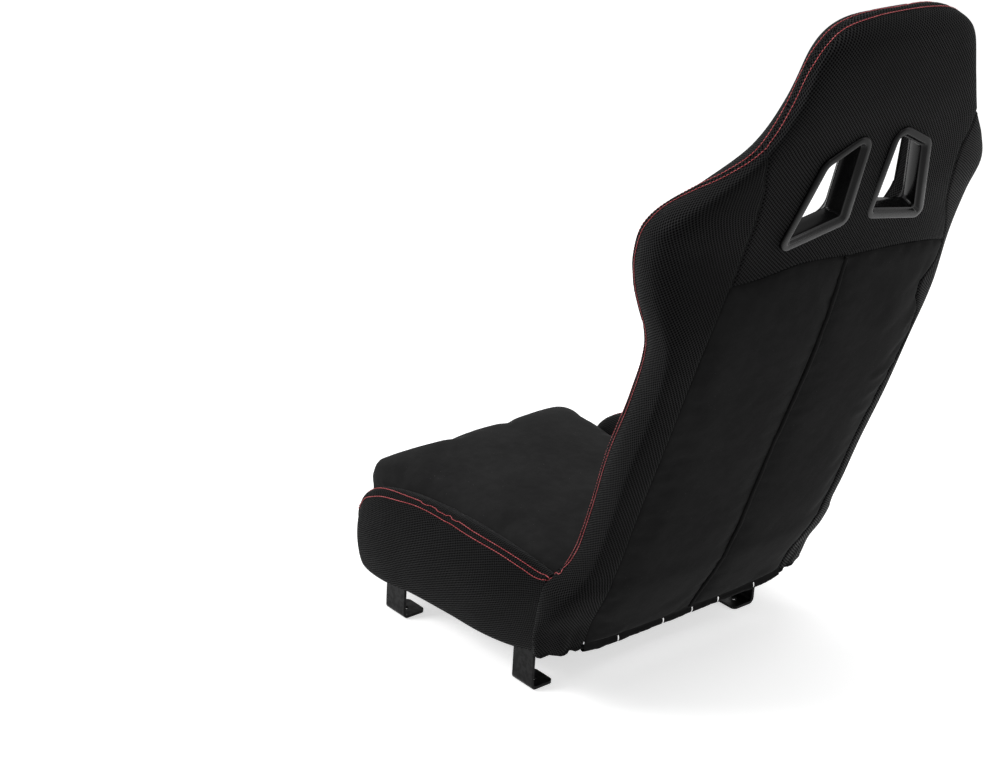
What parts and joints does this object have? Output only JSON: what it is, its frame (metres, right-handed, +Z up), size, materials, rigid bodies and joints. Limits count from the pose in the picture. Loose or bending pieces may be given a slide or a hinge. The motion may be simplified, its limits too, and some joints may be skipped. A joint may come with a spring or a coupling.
{
  "type": "bucket racing seat",
  "caption": "Fixed-back bucket racing seat with a loose cushion, high thigh bolsters, shoulder wings, head rest with harness slots and bolt-down bracket feet.",
  "frame": {"origin": "midway between the two rear foot holes, at the underside of the feet", "axes": "+X to the sitter's left, -Y the way the seat faces, +Z up"},
  "size_m": [0.531, 0.7136, 0.9246],
  "materials": {
    "frame_steel": "black powder coat on steel tube",
    "webbing": "woven elastic webbing",
    "foam": "moulded cushion foam",
    "suede_cloth": "charcoal brushed suede cloth",
    "mesh_cloth": "black spacer mesh with red topstitching",
    "bezel_plastic": "glossy black moulding",
    "bracket_paint": "satin black paint on flat steel",
    "fastener_steel": "blackened steel",
    "hem_rod": "black rolled hem over a rod",
    "ring_wire": "bright galvanised wire"
  },
  "bodies": {
    "root": {"base_loop_tube": "frame_steel", "back_hoop_tube": "frame_steel", "rear_base_cross_tube": "frame_steel", "lumbar_cross_tube": "frame_steel", "chest_cross_tube": "frame_steel", "bolt_sleeves": "frame_steel", "base_cross_webbing": "webbing", "base_long_webbing": "webbing", "back_webbing": "webbing", "back_foam": "foam", "head_foam": "foam", "back_rear_pad": "foam", "bolster_foam_left": "foam", "bolster_foam_right": "foam", "cushion_foam": "foam", "cushion_cover": "suede_cloth", "lower_rear_cover_left": "suede_cloth", "lower_rear_cover_right": "suede_cloth", "rear_centre_welt": "suede_cloth", "upper_rear_cover": "mesh_cloth", "side_cover_left": "mesh_cloth", "side_cover_right": "mesh_cloth", "front_centre_cover": "suede_cloth", "front_bolster_cover_left": "mesh_cloth", "front_bolster_cover_right": "mesh_cloth", "base_side_cover_left": "mesh_cloth", "base_side_cover_right": "mesh_cloth", "base_front_apron": "mesh_cloth", "slot_bezel_rear_left": "bezel_plastic", "slot_bezel_rear_right": "bezel_plastic", "slot_bezel_front_left": "bezel_plastic", "slot_bezel_front_right": "bezel_plastic", "rear_bracket_left": "bracket_paint", "rear_bracket_right": "bracket_paint", "front_bracket_left": "bracket_paint", "front_bracket_right": "bracket_paint", "bracket_bolts": "fastener_steel", "bracket_washers": "fastener_steel", "bracket_nuts": "fastener_steel", "rear_hem_rod": "hem_rod", "hog_rings": "ring_wire"}
  },
  "joints": []
}
